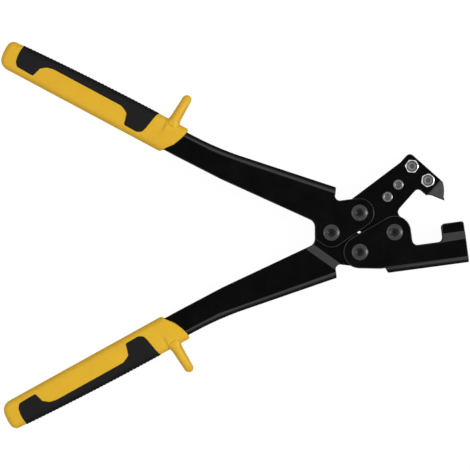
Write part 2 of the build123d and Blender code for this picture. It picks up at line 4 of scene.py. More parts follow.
import bpy
import numpy as np
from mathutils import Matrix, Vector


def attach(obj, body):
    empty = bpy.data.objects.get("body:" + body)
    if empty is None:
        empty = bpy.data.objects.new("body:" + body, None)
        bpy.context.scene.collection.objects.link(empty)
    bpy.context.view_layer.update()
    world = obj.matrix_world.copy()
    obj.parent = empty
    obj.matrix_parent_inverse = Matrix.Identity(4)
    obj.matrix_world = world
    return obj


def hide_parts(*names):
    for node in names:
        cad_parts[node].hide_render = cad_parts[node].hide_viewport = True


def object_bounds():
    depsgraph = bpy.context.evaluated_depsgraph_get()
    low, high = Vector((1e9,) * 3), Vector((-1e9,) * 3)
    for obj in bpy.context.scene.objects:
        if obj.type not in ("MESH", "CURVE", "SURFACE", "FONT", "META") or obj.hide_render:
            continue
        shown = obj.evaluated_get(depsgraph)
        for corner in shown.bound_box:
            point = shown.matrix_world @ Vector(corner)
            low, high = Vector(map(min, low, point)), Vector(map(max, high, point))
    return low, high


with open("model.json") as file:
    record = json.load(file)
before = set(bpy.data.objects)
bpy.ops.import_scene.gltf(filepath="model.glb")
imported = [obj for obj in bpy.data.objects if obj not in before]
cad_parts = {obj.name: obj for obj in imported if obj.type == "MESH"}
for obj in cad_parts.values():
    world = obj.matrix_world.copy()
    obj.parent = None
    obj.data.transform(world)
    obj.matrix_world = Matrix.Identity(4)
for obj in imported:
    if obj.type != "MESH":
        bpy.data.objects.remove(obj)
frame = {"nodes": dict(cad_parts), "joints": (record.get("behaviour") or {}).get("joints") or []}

cad_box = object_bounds()
MM = 0.001

# ---------------------------------------------------------------- light table and tent
# The tool lies on a light table, inside a round tent of white cloth that is lit from outside. The table is
# seen and lights matt surfaces, but nothing mirrors it. The tent has a dim skirt, and a dark hole at its top
# for the camera, which the tool's level black faces mirror. Its bends and soft edges mirror the cloth.

MIDDLE = (np.array(cad_box[0]) + np.array(cad_box[1])) / 2
FLAT_HEIGHT = 8 * MM  # of the handles' level faces above the middle plane
VIEW_WIDTH = 371.3 * MM  # seen across the view at that height
VIEW_SHIFT = (-0.2 * MM, -1.3 * MM)
VIEW_ROLL = radians(-0.43)
VIEW_END = 20.0
LENS = 250.0
SENSOR = 36.0
TABLE_SIZE = 4.0
TABLE_CLOUDS = 3.0  # to the metre
TABLE_GLOW = 0.96  # as it is seen
TABLE_BOUNCE = 0.9  # as it lights matt surfaces
SKIRT_EDGE = (0.38, 0.58)  # sine of the height above the horizon where the cloth begins
HOLE_EDGE = (0.93, 0.98)  # and where it ends
CLOTH_GLOW = 1.16
SKIRT_GLOW = 0.25
HOLE_GLOW = 0.04
SIDE_BOX_POWER = {0: 13.0, 180: 2.0}  # watts, by the turn at which each box stands, in degrees
SIDE_BOX_SIZE = 0.45
SIDE_BOX_REACH = 1.5
SIDE_BOX_HEIGHT = 0.95


def linear(hex_colour, alpha=1.0):
    """sRGB hex to linear: under 0.04045 a division by 12.92, above it a power of 2.4."""
    parts = np.array([int(hex_colour[i:i + 2], 16) for i in (1, 3, 5)]) / 255.0
    low = parts / 12.92
    high = ((parts + 0.055) / 1.055) ** 2.4
    return (*np.where(parts <= 0.04045, low, high), alpha)


def new_material(name):
    """A node material that holds only its shader and output, with that shader."""
    material = bpy.data.materials.new(name)
    material.use_nodes = True
    return material, material.node_tree.nodes["Principled BSDF"]


def add_node(tree_owner, kind, inputs=None, **settings):
    """Adds a node, sets its properties, and fills each input with a value or a link from a socket."""
    node = tree_owner.node_tree.nodes.new(kind)
    for name, value in settings.items():
        setattr(node, name, value)
    fill_inputs(tree_owner, node, inputs or {})
    return node


def fill_inputs(tree_owner, node, inputs):
    """Sets each named or numbered input of a node to a value, or links it from a socket."""
    for name, value in inputs.items():
        if isinstance(value, bpy.types.NodeSocket):
            tree_owner.node_tree.links.new(value, node.inputs[name])
        else:
            node.inputs[name].default_value = value


def set_ramp(node, *stops):
    """Gives a colour ramp its stops, each a place from 0 to 1 and a hex colour."""
    ramp = node.color_ramp
    for place, colour in stops[2:]:
        ramp.elements.new(place)
    for element, (place, colour) in zip(ramp.elements, sorted(stops)):
        element.position = place
        element.color = linear(colour)


def mesh_object(name, points, faces, crease=None):
    """A smooth mesh object at the origin, faced outwards: where the tetrahedra from the points' middle to the
    faces add up to less than no volume, every face is turned round. Edges that turn by more than crease stay
    sharp."""
    points = np.asarray(points, dtype=float)
    corners = np.array([(face[0], face[i], face[i + 1]) for face in faces for i in range(1, len(face) - 1)])
    a, b, c = (points[corners[:, i]] - points.mean(0) for i in range(3))
    if np.einsum("ij,ij->i", a, np.cross(b, c)).sum() < 0:
        faces = [face[::-1] for face in faces]
    mesh = bpy.data.meshes.new(name)
    mesh.from_pydata(points.tolist(), [], faces)
    mesh.polygons.foreach_set("use_smooth", np.full(len(mesh.polygons), True))
    if crease is not None:
        mesh.set_sharp_from_angle(angle=crease)
    mesh.update()
    piece = bpy.data.objects.new(name, mesh)
    bpy.context.scene.collection.objects.link(piece)
    return piece


table, table_shader = new_material("opal_acrylic")
table_place = add_node(table, "ShaderNodeTexCoord")
table_cloud = add_node(table, "ShaderNodeTexNoise", {
    "Vector": table_place.outputs["Object"], "Scale": TABLE_CLOUDS})
table_tone = add_node(table, "ShaderNodeValToRGB", {"Fac": table_cloud.outputs["Fac"]})
set_ramp(table_tone, (0.3, "#3c3c3c"), (0.7, "#424242"))
table_rays = add_node(table, "ShaderNodeLightPath")
table_seen = add_node(table, "ShaderNodeMath", {
    0: table_rays.outputs["Is Camera Ray"], 1: TABLE_GLOW}, operation="MULTIPLY")
table_glow = add_node(table, "ShaderNodeMath", {
    0: table_rays.outputs["Is Diffuse Ray"], 1: TABLE_BOUNCE, 2: table_seen.outputs["Value"]},
    operation="MULTIPLY_ADD")
fill_inputs(table, table_shader, {
    "Base Color": table_tone.outputs["Color"], "Roughness": 0.8, "Specular IOR Level": 0.1,
    "Emission Color": linear("#ffffff"), "Emission Strength": table_glow.outputs["Value"]})
half = TABLE_SIZE / 2
bench = mesh_object("light_table", [(-half, -half, 0), (half, -half, 0), (half, half, 0), (-half, half, 0)],
                    [(0, 1, 2, 3)])
bench.data.materials.append(table)

tent = bpy.data.worlds.new("cloth_tent")
tent.use_nodes = True
tent_place = add_node(tent, "ShaderNodeTexCoord")
tent_height = add_node(tent, "ShaderNodeSeparateXYZ", {"Vector": tent_place.outputs["Generated"]})
tent_skirt = add_node(tent, "ShaderNodeMapRange", {
    "Value": tent_height.outputs["Z"], "From Min": SKIRT_EDGE[0], "From Max": SKIRT_EDGE[1],
    "To Min": SKIRT_GLOW, "To Max": CLOTH_GLOW}, interpolation_type="SMOOTHSTEP")
tent_hole = add_node(tent, "ShaderNodeMapRange", {
    "Value": tent_height.outputs["Z"], "From Min": HOLE_EDGE[0], "From Max": HOLE_EDGE[1],
    "To Min": CLOTH_GLOW, "To Max": HOLE_GLOW}, interpolation_type="SMOOTHSTEP")
tent_glow = add_node(tent, "ShaderNodeMath", {
    0: tent_skirt.outputs["Result"], 1: tent_hole.outputs["Result"]}, operation="MINIMUM")
fill_inputs(tent, tent.node_tree.nodes["Background"], {
    "Color": linear("#ffffff"), "Strength": tent_glow.outputs["Value"]})
bpy.context.scene.world = tent
bpy.context.scene.view_settings.view_transform = "Standard"

for turn, power in SIDE_BOX_POWER.items():
    lamp = bpy.data.lights.new(f"side_box_{turn}", "AREA")
    lamp.size = SIDE_BOX_SIZE
    lamp.energy = power
    stand = bpy.data.objects.new(lamp.name, lamp)
    stand.location = (SIDE_BOX_REACH * cos(radians(turn)), SIDE_BOX_REACH * sin(radians(turn)),
                      SIDE_BOX_HEIGHT)
    stand.rotation_euler = (atan2(SIDE_BOX_REACH, SIDE_BOX_HEIGHT), 0, radians(turn) + pi / 2)
    bpy.context.scene.collection.objects.link(stand)

camera = bpy.data.cameras.new("camera")
camera.lens = LENS
camera.sensor_width = SENSOR
camera.clip_end = VIEW_END
eye = bpy.data.objects.new("camera", camera)
eye.location = (MIDDLE[0] + VIEW_SHIFT[0], MIDDLE[1] + VIEW_SHIFT[1],
                MIDDLE[2] + FLAT_HEIGHT + VIEW_WIDTH * LENS / SENSOR)
eye.rotation_euler = (0, 0, VIEW_ROLL)
bpy.context.scene.collection.objects.link(eye)
bpy.context.scene.camera = eye

# ---------------------------------------------------------------- enamelled sheet steel
# Both handle channels, the lower jaw and the upper jaw's cheeks and spacer are stamped and folded from
# low-carbon sheet, then dipped in black stoving enamel. It is glossy and slightly uneven like orange peel.
# Over the edges it is thinner and duller, and the lighter grey there is a painted highlight of the rounded
# edges.

nodes = frame["nodes"]
ENAMELLED = ("upper_handle_channel", "lower_handle_channel", "lower_jaw_channel", "upper_jaw_plate_front",
             "upper_jaw_plate_back", "upper_jaw_spacer")
EDGE_SOFTNESS = 0.6 * MM
SAME_POINT = 0.002 * MM  # points closer than this are one
LEVEL_WITHIN = radians(0.8)  # triangles that turn by less belong to one flat face
EDGE_OVER = radians(35)  # edges that turn by more are rounded
PEEL_PITCH = 2.2 * MM  # orange peel is about 1 mm, drawn twice as coarse to show
PEEL_DEPTH = 0.12 * MM
HAZE_PITCH = 14 * MM
EDGE_WEAR_AND_HIGHLIGHT_PITCH = 5 * MM

enamel, enamel_shader = new_material("black_stoving_enamel")
enamel_place = add_node(enamel, "ShaderNodeTexCoord")
orange_peel = add_node(enamel, "ShaderNodeTexNoise", {
    "Vector": enamel_place.outputs["Object"], "Scale": 1 / PEEL_PITCH, "Detail": 2.0, "Roughness": 0.4})
enamel_haze = add_node(enamel, "ShaderNodeTexNoise", {
    "Vector": enamel_place.outputs["Object"], "Scale": 1 / HAZE_PITCH, "Detail": 5.0, "Roughness": 0.6})
enamel_gloss = add_node(enamel, "ShaderNodeMapRange", {
    "Value": enamel_haze.outputs["Fac"], "From Min": 0.35, "From Max": 0.7, "To Min": 0.09, "To Max": 0.15})
enamel_tone = add_node(enamel, "ShaderNodeValToRGB", {"Fac": enamel_haze.outputs["Fac"]})
set_ramp(enamel_tone, (0.3, "#050506"), (0.7, "#09090a"))
enamel_bump = add_node(enamel, "ShaderNodeBump", {
    "Height": orange_peel.outputs["Fac"], "Strength": 0.12, "Distance": PEEL_DEPTH})
fill_inputs(enamel, enamel_shader, {
    "Base Color": enamel_tone.outputs["Color"], "Roughness": enamel_gloss.outputs["Result"],
    "Normal": enamel_bump.outputs["Normal"], "IOR": 1.5})

# Painted highlight: the rounded edges take a lighter grey that stands for the light lines they catch,
# together with real thinning and dulling of the enamel there.
enamel_edge_wear_and_highlight, edge_shader = new_material("enamel_edge_wear_and_painted_highlight")
edge_place = add_node(enamel_edge_wear_and_highlight, "ShaderNodeTexCoord")
edge_wear_and_highlight = add_node(enamel_edge_wear_and_highlight, "ShaderNodeTexNoise", {
    "Vector": edge_place.outputs["Object"], "Scale": 1 / EDGE_WEAR_AND_HIGHLIGHT_PITCH, "Detail": 5.0, "Roughness": 0.65})
edge_wear_and_highlight_tone = add_node(enamel_edge_wear_and_highlight, "ShaderNodeValToRGB", {"Fac": edge_wear_and_highlight.outputs["Fac"]})
set_ramp(edge_wear_and_highlight_tone, (0.35, "#0c0c0d"), (0.7, "#2c2c2d"))
edge_gloss = add_node(enamel_edge_wear_and_highlight, "ShaderNodeMapRange", {
    "Value": edge_wear_and_highlight.outputs["Fac"], "From Min": 0.3, "From Max": 0.7, "To Min": 0.3, "To Max": 0.45})
fill_inputs(enamel_edge_wear_and_highlight, edge_shader, {
    "Base Color": edge_wear_and_highlight_tone.outputs["Color"], "Roughness": edge_gloss.outputs["Result"], "IOR": 1.5})


def soften(piece, width, edge_slot=-1):
    """Welds a node's loose triangles, joins those of each flat face, and rounds its sharp edges, which leaves
    the mesh itself alone. The rounded edges take the material in edge_slot, or their neighbours' own."""
    weld = piece.modifiers.new("weld", "WELD")
    weld.merge_threshold = SAME_POINT
    flats = piece.modifiers.new("flat_faces", "DECIMATE")
    flats.decimate_type = "DISSOLVE"
    flats.angle_limit = LEVEL_WITHIN
    bevel = piece.modifiers.new("soft_edges", "BEVEL")
    bevel.width = width
    bevel.segments = 3
    bevel.limit_method = "ANGLE"
    bevel.angle_limit = EDGE_OVER
    bevel.material = edge_slot
    bevel.harden_normals = True


for name in ENAMELLED:
    nodes[name].data.materials.clear()
    nodes[name].data.materials.append(enamel)
    nodes[name].data.materials.append(enamel_edge_wear_and_highlight)
    soften(nodes[name], EDGE_SOFTNESS, edge_slot=1)
# With the clamp on, the jaw's shortest edges would hold back the rounding of all its others.
nodes["lower_jaw_channel"].modifiers["soft_edges"].use_clamp_overlap = False

# ---------------------------------------------------------------- pivot rivets and bushes
# Four large steel rivets carry the linkage. Their shanks are bright drawn steel and both heads are spun over,
# which leaves a shallow hollow in the middle, a sloping shoulder and fine rings from the spinning tool. Two
# turned bushes of the same steel keep the inner fork's plates apart.

PIVOT = {joint["name"]: np.array(joint["pos_m"]) for joint in frame["joints"]}
SHEET_FACE = 8.0 * MM  # the outer forks' faces, above and below the middle plane
RIVET_SHANK = 4.0 * MM
RIVET_HEAD = ((0, 1.45), (1.3, 1.45), (2.1, 1.52), (2.7, 1.75), (3.1, 2.02), (3.45, 2.1), (4.0, 2.05),
              (4.7, 1.87), (5.4, 1.55), (6.0, 1.12), (6.4, 0.66), (6.58, 0.25),
              (6.6, 0.04))  # radius and height over the fork, mm
FIRST_RING = 0.15 * MM  # along the head's profile
HEAD_RINGS = 64
RING_PITCH = 0.55 * MM  # the tool's rings are about 0.2 mm, drawn coarser to show
RING_DEPTH = 0.016 * MM
RING_START = 0.4 * MM  # radius where the rings begin
# Painted light as well as rubbing: the bright outer rings stand for highlights on the rim and shoulder, and
# the dark middle stands for shade in the hollow.
RIVET_RUBBING_AND_PAINTED_LIGHT = ((0, 2.6, 3.3, 4.1, 4.7, 5.3, 5.9, 6.6),
                (0.0, 0.0, 0.2, 0.6, 0.28, 0.4, 0.85, 1.0))  # by radius, mm
RIVET_CREASE = radians(50)
STEEL_GRAIN = 0.9 * MM  # drawn coarser than the real 0.1 mm to show
GRAIN_DEPTH = 0.05 * MM
BUSH_SOFTNESS = 0.3 * MM
ROUND_COLUMNS = 96


def turned_rings(centre, radii, heights):
    """Rings of points about a vertical axis: each ring is a circle of its own radius and height, and every
    point stands at the centre plus radius times cosine and sine of its angle."""
    angle = np.linspace(0, 2 * pi, ROUND_COLUMNS, endpoint=False)
    radii, heights = np.asarray(radii)[:, None], np.asarray(heights)[:, None]
    across = np.stack([radii * np.cos(angle), radii * np.sin(angle), heights + 0 * angle], -1)
    return across + np.asarray(centre)


def ring_object(name, rings, poles=(), crease=None):
    """A closed surface through rings of points, each joined to the next. Its first and last ring are each
    closed round a pole, or without poles they are joined to each other."""
    rows, columns, _ = rings.shape
    index = np.arange(rows * columns).reshape(rows, columns)
    lower = index[:-1] if len(poles) else index
    upper = index[1:] if len(poles) else np.roll(index, -1, axis=0)
    faces = np.stack([lower, np.roll(lower, -1, 1), np.roll(upper, -1, 1), upper], -1)
    faces = faces.reshape(-1, 4).tolist()
    points = rings.reshape(-1, 3)
    if len(poles):
        first = np.full(columns, rows * columns)
        faces += np.stack([first, np.roll(index[0], -1), index[0]], -1).tolist()
        faces += np.stack([first + 1, index[-1], np.roll(index[-1], -1)], -1).tolist()
        points = np.vstack([points, poles])
    return mesh_object(name, points, faces, crease)


def headed_rivet(name, centre, head, face, shank):
    """A rivet turned about its axis: a head's profile at even steps, its straight shank, and the same head
    upside down. Past the middle the head is rippled by a sine of its radius, which grows in over 1 mm."""
    radius, height = np.array(head).T * MM
    walked = np.concatenate([[0], np.cumsum(np.hypot(np.diff(radius), np.diff(height)))])
    steps = np.linspace(FIRST_RING, walked[-1], HEAD_RINGS)
    fine_radius = np.interp(steps, walked, radius)
    fine_height = np.interp(steps, walked, height)
    grown = np.clip((fine_radius - RING_START) / MM, 0, 1)
    fine_height = face + fine_height + grown * RING_DEPTH * np.sin(fine_radius * 2 * pi / RING_PITCH)
    radii = np.concatenate([fine_radius, [shank, shank], fine_radius[::-1]])
    heights = np.concatenate([fine_height, [face, -face], -fine_height[::-1]])
    top = face + height[0]
    poles = np.array([(centre[0], centre[1], centre[2] + side * top) for side in (1, -1)])
    return ring_object(name, turned_rings(centre, radii, heights), poles, RIVET_CREASE)


def mark_rubbing_and_painted_light(piece, centre, radii, bright):
    """Writes a brightness at each point, from 0 to 1, as an attribute that follows the distance from the
    piece's
    axis: brighter and darker rings that stand partly for rubbed metal and partly for painted highlight and
    shade."""
    places = np.empty(3 * len(piece.data.vertices))
    piece.data.vertices.foreach_get("co", places)
    x, y, _ = (places.reshape(-1, 3) - centre).T
    rubbing_and_painted_light = piece.data.attributes.new("rubbing_and_painted_light", "FLOAT", "POINT")
    rubbing_and_painted_light.data.foreach_set("value", np.interp(np.hypot(x, y), np.array(radii) * MM, bright))


def finish_piece(piece, body, replaced, material):
    """Gives a piece its body, the nodes it stands for and its material."""
    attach(piece, body)
    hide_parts(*replaced)
    piece.data.materials.append(material)


spun_steel, spun_shader = new_material("spun_rivet_steel")
spun_place = add_node(spun_steel, "ShaderNodeTexCoord")
spun_grain = add_node(spun_steel, "ShaderNodeTexNoise", {
    "Vector": spun_place.outputs["Object"], "Scale": 1 / STEEL_GRAIN, "Detail": 4.0})
# Brightness written on each point: rubbed steel, with painted highlight on the rims and shoulders and painted
# shade in the hollows.
spun_rubbing_and_painted_light = add_node(spun_steel, "ShaderNodeAttribute", attribute_name="rubbing_and_painted_light")
spun_mottle_and_painted_light = add_node(spun_steel, "ShaderNodeMath", {
    0: spun_grain.outputs["Fac"], 1: 0.4, 2: spun_rubbing_and_painted_light.outputs["Fac"]}, operation="MULTIPLY_ADD")
spun_tone = add_node(spun_steel, "ShaderNodeValToRGB", {"Fac": spun_mottle_and_painted_light.outputs["Value"]})
set_ramp(spun_tone, (0.1, "#202020"), (0.7, "#454545"), (1.0, "#828281"))
spun_rough = add_node(spun_steel, "ShaderNodeMapRange", {
    "Value": spun_grain.outputs["Fac"], "From Min": 0.3, "From Max": 0.7, "To Min": 0.28, "To Max": 0.42})
spun_bump = add_node(spun_steel, "ShaderNodeBump", {
    "Height": spun_grain.outputs["Fac"], "Strength": 0.3, "Distance": GRAIN_DEPTH})
fill_inputs(spun_steel, spun_shader, {
    "Base Color": spun_tone.outputs["Color"], "Metallic": 1.0,
    "Roughness": spun_rough.outputs["Result"], "Normal": spun_bump.outputs["Normal"]})

upper_link = PIVOT["lower_link_pivot"] * (1, -1, 1)
for name, body, centre in (("handle_pivot", "upper_handle", PIVOT["handle_pivot"]),
                           ("upper_link", "upper_handle", upper_link),
                           ("lower_link", "lower_jaw", PIVOT["lower_link_pivot"]),
                           ("jaw_pivot", "lower_jaw", PIVOT["jaw_pivot"])):
    rivet = headed_rivet(name + "_rivet", centre, RIVET_HEAD, SHEET_FACE, RIVET_SHANK)
    mark_rubbing_and_painted_light(rivet, centre, *RIVET_RUBBING_AND_PAINTED_LIGHT)
    finish_piece(rivet, body, [name + "_pin"], spun_steel)

for name in ("handle_pivot_bush", "lower_link_bush"):
    nodes[name].data.materials.clear()
    nodes[name].data.materials.append(spun_steel)
    soften(nodes[name], BUSH_SOFTNESS)

# ---------------------------------------------------------------- arm rivets
# Two smaller rivets hold the cheeks on the spacer. They are the same steel, pressed rather than spun, with a
# round hollow in a flat head.

PUNCH_TURN = radians(-12.6)  # the upper jaw's own frame against the line between its two pivots
ARM_RIVET_PLACES = ((-22.65, 17.2), (-22.65, 30.1))
CHEEK_FACE = 5.4 * MM
ARM_SHANK = 2.5 * MM
ARM_HEAD = ((0, 1.0), (1.5, 1.0), (2.1, 1.1), (2.5, 1.4), (2.8, 1.5), (3.3, 1.48), (3.8, 1.25),
            (4.15, 0.85), (4.3, 0.4), (4.3, 0.04))
# Painted light as well as rubbing: the bright ring on the shoulder stands for its highlight.
ARM_RUBBING_AND_PAINTED_LIGHT = ((0, 1.3, 2.2, 3.0, 3.7, 4.3), (0.7, 0.7, 0.5, 0.95, 0.95, 0.5))

arm_line = PIVOT["jaw_pivot"] - upper_link
arm_turn = atan2(arm_line[1], arm_line[0]) + PUNCH_TURN


def on_upper_jaw(place):
    """A place in the upper jaw's frame, in mm from the jaw pivot, turned and moved into the tool's."""
    x, y = np.array(place) * MM
    turned = (x * cos(arm_turn) - y * sin(arm_turn), x * sin(arm_turn) + y * cos(arm_turn), 0)
    return PIVOT["jaw_pivot"] + turned


for number, place in enumerate(ARM_RIVET_PLACES, 1):
    rivet = headed_rivet(f"arm_rivet_{number}", on_upper_jaw(place), ARM_HEAD, CHEEK_FACE, ARM_SHANK)
    mark_rubbing_and_painted_light(rivet, on_upper_jaw(place), *ARM_RUBBING_AND_PAINTED_LIGHT)
    finish_piece(rivet, "upper_jaw", ["arm_rivets"], spun_steel)

# ---------------------------------------------------------------- hexagon bolts and nuts
# Two M6 bolts clamp the tooth between the cheeks, so that it can be changed. They are cold-forged steel,
# plated with bright zinc, with a hollow forged into each head and chamfered corners.

BOLT_PLACES = ((-24.3, 48.0), (-7.5, 48.0))
BOLT_TURNS = (radians(7.0), radians(33.0))
FLATS = 9.6 * MM
BOLT_HEAD = 4.0 * MM
BOLT_RADIUS = 3.0 * MM
BOLT_STICKOUT = 0.5 * MM
BOLT_POINT = 2.3 * MM  # radius at its end
CORNERS = 5.6 * MM  # past the hexagon's corners, which are then whole
CHAMFER_START = 4.55 * MM  # radius where the chamfer round the head begins
CHAMFER_SLOPE = 0.42
HOLLOW_DEPTH = 0.55 * MM
HEAD_HOLLOW = ((1.2, 1.0), (2.4, 0.95), (3.0, 0.75), (3.6, 0.5), (4.25, 0.15),
               (4.45, 0.0))  # radius in mm and share of the hollow's depth
HEAD_RIM = ((CHAMFER_START, 0.02 * MM), (5.15 * MM, 0.05 * MM), (CORNERS, 0.15 * MM))  # limit, drop
HEAD_SEAT = 0.05 * MM  # from the hexagon's foot to the cheek
THREAD_PITCH = 1.0 * MM
THREAD_DEPTH = 0.3 * MM
THREAD_RINGS = 60
THREAD_RUNOUT = (0.5 * MM, 0.3 * MM)  # above the thread and before the bolt's end
NUT_HEIGHT = 4.4 * MM
NUT_BORE = 3.02 * MM
NUT_SINKS = ((3.5 * MM, 0.5 * MM), (3.6 * MM, 0.55 * MM))  # radius and depth, at the cheek and outside
NUT_SEAT = 0.02 * MM  # between the nut's face and the cheek
HEX_CREASE = radians(28)
# Painted light as well as rubbing: the bright ring on the chamfer stands for its highlight, and the dark ring
# stands for shade on the hollow's wall.
HEAD_RUBBING_AND_PAINTED_LIGHT = ((0, 1.2, 2.4, 3.0, 3.6, 4.25, 4.45, 4.6),
               (0.45, 0.35, 0.5, 0.4, 0.1, 0.1, 0.5, 0.8))  # by radius, mm
SPANGLE = 0.8 * MM
ZINC_CLOUD = 1.5 * MM
HEX_ANGLE = np.linspace(0, 2 * pi, 144, endpoint=False)
HEAD_TOP = CHEEK_FACE + BOLT_HEAD
NUT_END = -CHEEK_FACE - NUT_HEIGHT
BOLT_END = NUT_END - BOLT_STICKOUT


def hexagon_rings(turn, rows):
    """Rings of a hexagonal block: half the flats over the cosine of the angle from the nearest side's middle,
    no more than each row's limit. Each row gives its height too, and the sense in which the chamfer takes it
    towards the block's middle, in proportion to how far the hexagon stands past the chamfer's start."""
    from_side = (HEX_ANGLE - turn + pi / 6) % (pi / 3) - pi / 6
    rings = []
    for limit, height, sense in rows:
        radius = np.minimum(FLATS / 2 / np.cos(from_side), limit)
        drop = np.maximum(radius - CHAMFER_START, 0) * CHAMFER_SLOPE * sense
        rings.append(np.stack([radius * np.cos(HEX_ANGLE), radius * np.sin(HEX_ANGLE), height - drop], -1))
    return rings


def circle_rings(rows):
    """Rings that are circles, each with its radius and height."""
    return [np.stack([radius * np.cos(HEX_ANGLE), radius * np.sin(HEX_ANGLE),
                      np.full_like(HEX_ANGLE, height)], -1) for radius, height in rows]


def hexagon_bolt(name, centre, turn):
    """A bolt in rings down its axis: the hollow, the chamfered hexagon, the shank, the thread, whose radius
    follows a cosine of height less angle, and the end."""
    height = np.linspace(-CHEEK_FACE, BOLT_END + THREAD_RUNOUT[1], THREAD_RINGS)[:, None]
    wave = np.cos(2 * pi * height / THREAD_PITCH - HEX_ANGLE)
    radius = BOLT_RADIUS - THREAD_DEPTH * (0.5 + 0.5 * wave)
    thread = np.stack([radius * np.cos(HEX_ANGLE), radius * np.sin(HEX_ANGLE), height + 0 * radius], -1)
    rings = circle_rings([(radius * MM, HEAD_TOP - share * HOLLOW_DEPTH) for radius, share in HEAD_HOLLOW])
    rings += hexagon_rings(turn, [(limit, HEAD_TOP - drop, 1) for limit, drop in HEAD_RIM])
    rings += hexagon_rings(turn, [(CORNERS, CHEEK_FACE + HEAD_SEAT, 0)])
    rings += circle_rings([(BOLT_RADIUS, CHEEK_FACE), (BOLT_RADIUS, -CHEEK_FACE + THREAD_RUNOUT[0])])
    rings += [*thread, *circle_rings([(BOLT_POINT, BOLT_END)])]
    poles = np.array([(0, 0, HEAD_TOP - HOLLOW_DEPTH), (0, 0, BOLT_END)])
    return ring_object(name, np.stack(rings) + centre, poles + centre, HEX_CREASE)


def hexagon_nut(name, centre, turn):
    """A nut in rings round its section: the countersink and chamfered side at the cheek, the same outside,
    and back through its bore."""
    (inner_sink, inner_depth), (outer_sink, outer_depth) = NUT_SINKS
    rings = circle_rings([(NUT_BORE, -CHEEK_FACE - inner_depth), (inner_sink, -CHEEK_FACE - NUT_SEAT)])
    rings += hexagon_rings(turn, [(CHAMFER_START, -CHEEK_FACE - NUT_SEAT, 1), (CORNERS, -CHEEK_FACE, 1),
                                  (CORNERS, NUT_END, -1), (CHAMFER_START, NUT_END, -1)])
    rings += circle_rings([(outer_sink, NUT_END), (NUT_BORE, NUT_END + outer_depth)])
    return ring_object(name, np.stack(rings) + centre, crease=HEX_CREASE)


zinc, zinc_shader = new_material("bright_zinc_plate")
zinc_place = add_node(zinc, "ShaderNodeTexCoord")
zinc_spangle = add_node(zinc, "ShaderNodeTexVoronoi", {
    "Vector": zinc_place.outputs["Object"], "Scale": 1 / SPANGLE})
zinc_cloud = add_node(zinc, "ShaderNodeTexNoise", {
    "Vector": zinc_place.outputs["Object"], "Scale": 1 / ZINC_CLOUD, "Detail": 4.0})
# Brightness written on each point: rubbed zinc, with painted highlight on the chamfer and painted shade in
# the hollow.
zinc_rubbing_and_painted_light = add_node(zinc, "ShaderNodeAttribute", attribute_name="rubbing_and_painted_light")
zinc_mottle_and_painted_light = add_node(zinc, "ShaderNodeMath", {
    0: zinc_cloud.outputs["Fac"], 1: 0.4, 2: zinc_rubbing_and_painted_light.outputs["Fac"]}, operation="MULTIPLY_ADD")
zinc_tone = add_node(zinc, "ShaderNodeValToRGB", {"Fac": zinc_mottle_and_painted_light.outputs["Value"]})
set_ramp(zinc_tone, (0.1, "#303031"), (0.6, "#6e6e6f"), (1.0, "#f4f4f4"))
zinc_rough = add_node(zinc, "ShaderNodeMapRange", {
    "Value": zinc_spangle.outputs["Distance"], "To Min": 0.26, "To Max": 0.4})
zinc_bump = add_node(zinc, "ShaderNodeBump", {
    "Height": zinc_cloud.outputs["Fac"], "Strength": 0.25, "Distance": GRAIN_DEPTH})
fill_inputs(zinc, zinc_shader, {
    "Base Color": zinc_tone.outputs["Color"], "Metallic": 1.0,
    "Roughness": zinc_rough.outputs["Result"], "Normal": zinc_bump.outputs["Normal"]})

for number, (place, turn) in enumerate(zip(BOLT_PLACES, BOLT_TURNS), 1):
    bolt = hexagon_bolt(f"hexagon_bolt_{number}", on_upper_jaw(place), turn + arm_turn)
    mark_rubbing_and_painted_light(bolt, on_upper_jaw(place), *HEAD_RUBBING_AND_PAINTED_LIGHT)
    finish_piece(bolt, "upper_jaw", ["punch_bolts"], zinc)
    nut = hexagon_nut(f"hexagon_nut_{number}", on_upper_jaw(place), turn + arm_turn)
    mark_rubbing_and_painted_light(nut, on_upper_jaw(place), *HEAD_RUBBING_AND_PAINTED_LIGHT)
    finish_piece(nut, "upper_jaw", ["punch_nuts"], zinc)

# ---------------------------------------------------------------- tooth
# The tooth is a loose blade of tool steel, hardened and phosphated dark grey. It is ground along its cutting
# edge, and the grinding marks run across it.

GRIND_PITCH = 0.6 * MM  # the wheel's marks are finer than 0.1 mm, drawn coarser to show
GRIND_STRETCH = 0.15  # of the marks along the blade against across it
GRIND_DEPTH = 0.06 * MM
PHOSPHATE_CLOUD = 4 * MM
TOOTH_SOFTNESS = 0.15 * MM

tooth_steel, tooth_shader = new_material("phosphated_tool_steel")
tooth_place = add_node(tooth_steel, "ShaderNodeTexCoord")
tooth_turned = add_node(tooth_steel, "ShaderNodeMapping", {
    "Vector": tooth_place.outputs["Object"], "Rotation": (0, 0, -arm_turn), "Scale": (1, GRIND_STRETCH, 1)})
tooth_marks = add_node(tooth_steel, "ShaderNodeTexNoise", {
    "Vector": tooth_turned.outputs["Vector"], "Scale": 1 / GRIND_PITCH, "Detail": 4.0})
tooth_cloud = add_node(tooth_steel, "ShaderNodeTexNoise", {
    "Vector": tooth_place.outputs["Object"], "Scale": 1 / PHOSPHATE_CLOUD, "Detail": 5.0})
tooth_tone = add_node(tooth_steel, "ShaderNodeValToRGB", {"Fac": tooth_cloud.outputs["Fac"]})
set_ramp(tooth_tone, (0.3, "#333334"), (0.7, "#454546"))
tooth_rough = add_node(tooth_steel, "ShaderNodeMapRange", {
    "Value": tooth_marks.outputs["Fac"], "To Min": 0.35, "To Max": 0.6})
tooth_bump = add_node(tooth_steel, "ShaderNodeBump", {
    "Height": tooth_marks.outputs["Fac"], "Strength": 0.3, "Distance": GRIND_DEPTH})
